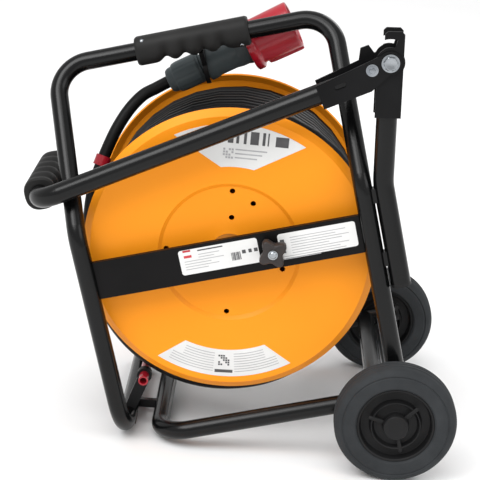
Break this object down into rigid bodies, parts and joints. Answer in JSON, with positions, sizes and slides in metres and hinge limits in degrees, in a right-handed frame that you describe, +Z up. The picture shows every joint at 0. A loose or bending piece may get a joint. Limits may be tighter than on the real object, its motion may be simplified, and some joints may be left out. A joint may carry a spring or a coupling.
{
  "type": "trolley cable reel",
  "caption": "Cable reel trolley: bent tube frame on two wheels, orange drum with wound cable, plug, rear sockets, drum brake and swing-up pull handle.",
  "frame": {"origin": "middle of the bounding box without the lead and plug, on the ground", "axes": "+X along the front from the handle side to the wheel side, +Y from the front face of the drum towards the sockets (drum and wheel axles run along it), +Z up"},
  "size_m": [0.487, 0.3566, 0.4865],
  "materials": {
    "frame_black": "gloss black powder coat",
    "strip_black": "satin black",
    "bracket_black": "satin black",
    "zinc": "bright zinc plate",
    "steel": "turned steel",
    "soft_black": "matt moulded",
    "plastic_black": "satin moulded",
    "knob_plastic": "satin moulded",
    "rubber_pad": "matt",
    "tyre_rubber": "matt grey rubber",
    "orange_sheet": "satin powder coat",
    "label": "printed film",
    "bush_nylon": "natural nylon",
    "cable_black": "matt sheath",
    "plug_grey": "satin moulded",
    "red_plastic": "gloss moulded",
    "brass": "bright"
  },
  "bodies": {
    "frame": {"hoop_tube": "frame_black", "base_tube": "frame_black", "inner_side_tube": "frame_black", "foot_ties": "frame_black", "bearing_strip": "strip_black", "stub_axle": "steel", "stub_washer": "zinc", "stub_nut": "zinc", "tube_caps": "plastic_black", "foot_pads": "rubber_pad", "wheel_axle": "steel", "axle_spacers": "plastic_black", "post_tube": "frame_black", "post_welds": "frame_black", "post_bracket": "bracket_black", "pivot_bolt": "zinc", "pivot_nut": "zinc", "top_grip": "soft_black", "top_grip_rivets": "zinc", "plug_clip": "plastic_black", "guard_bar": "red_plastic", "guard_brackets": "plastic_black", "strip_labels": "label", "brake_boss": "steel", "front_cap": "plastic_black", "rear_cap": "plastic_black", "lead_cable": "cable_black", "plug_body": "plug_grey", "plug_front": "red_plastic", "plug_pins": "brass", "lead_ring": "red_plastic"},
    "brake_pad": {"brake_shoe": "rubber_pad"},
    "brake_knob": {"brake_knob": "knob_plastic", "brake_screw": "zinc"},
    "pull_arm": {"arm_tube": "frame_black", "arm_bracket": "bracket_black", "arm_liners": "frame_black", "latch_pin": "zinc", "pull_grip": "soft_black", "arm_cap": "plastic_black"},
    "front_wheel": {"front_tyre": "tyre_rubber", "front_rim": "plastic_black"},
    "rear_wheel": {"rear_tyre": "tyre_rubber", "rear_rim": "plastic_black"},
    "drum": {"front_flange": "orange_sheet", "rear_flange": "orange_sheet", "drum_core": "orange_sheet", "hub_tube": "steel", "hub_bushes": "bush_nylon", "core_web": "orange_sheet", "socket_panel": "plastic_black", "cee_socket": "red_plastic", "cee_insert": "plastic_black", "duo_socket_left": "plastic_black", "duo_socket_right": "plastic_black", "disc_labels": "label", "cable_pack": "cable_black"},
    "cee_lid": {"cee_lid": "red_plastic"},
    "duo_lid_left": {"duo_lid_left": "plastic_black"},
    "duo_lid_right": {"duo_lid_right": "plastic_black"}
  },
  "joints": [
    {"name": "drum_turn", "type": "hinge", "parent": "frame", "child": "drum", "pos_m": [-0.01599, -0.103, 0.22539], "axis": [0, 1, 0], "continuous": true},
    {"name": "front_wheel_turn", "type": "hinge", "parent": "frame", "child": "front_wheel", "pos_m": [0.17701, -0.1575, 0.0665], "axis": [0, 1, 0], "continuous": true},
    {"name": "rear_wheel_turn", "type": "hinge", "parent": "frame", "child": "rear_wheel", "pos_m": [0.17701, 0.1575, 0.0665], "axis": [0, 1, 0], "continuous": true},
    {"name": "arm_swing", "type": "hinge", "parent": "frame", "child": "pull_arm", "pos_m": [0.1346, -0.125, 0.45404], "axis": [0, 1, 0], "range_deg": [0, 113]},
    {"name": "brake_press", "type": "slide", "parent": "frame", "child": "brake_pad", "axis": [0, 1, 0], "range_m": [0, 0.002]},
    {"name": "knob_turn", "type": "hinge", "parent": "brake_pad", "child": "brake_knob", "pos_m": [0.03076, -0.143, 0.24019], "axis": [0, 1, 0], "range_deg": [0, 577]},
    {"name": "cee_lid_hinge", "type": "hinge", "parent": "drum", "child": "cee_lid", "pos_m": [-0.01258, 0.0948, 0.21285], "axis": [0.9649, 0, 0.2626], "range_deg": [0, 100], "stiffness_Nm_per_rad": 0.02, "springref_deg": -28.65},
    {"name": "duo_lid_left_hinge", "type": "hinge", "parent": "drum", "child": "duo_lid_left", "pos_m": [-0.07592, 0.0848, 0.27043], "axis": [0.9649, 0, 0.2626], "range_deg": [0, 100], "stiffness_Nm_per_rad": 0.012, "springref_deg": -28.65},
    {"name": "duo_lid_right_hinge", "type": "hinge", "parent": "drum", "child": "duo_lid_right", "pos_m": [0.01285, 0.0848, 0.29459], "axis": [0.9649, 0, 0.2626], "range_deg": [0, 100], "stiffness_Nm_per_rad": 0.012, "springref_deg": -28.65}
  ],
  "couplings": [
    {"joint": "knob_turn", "follows": "brake_press", "rad_per_m": 5026.5}
  ]
}
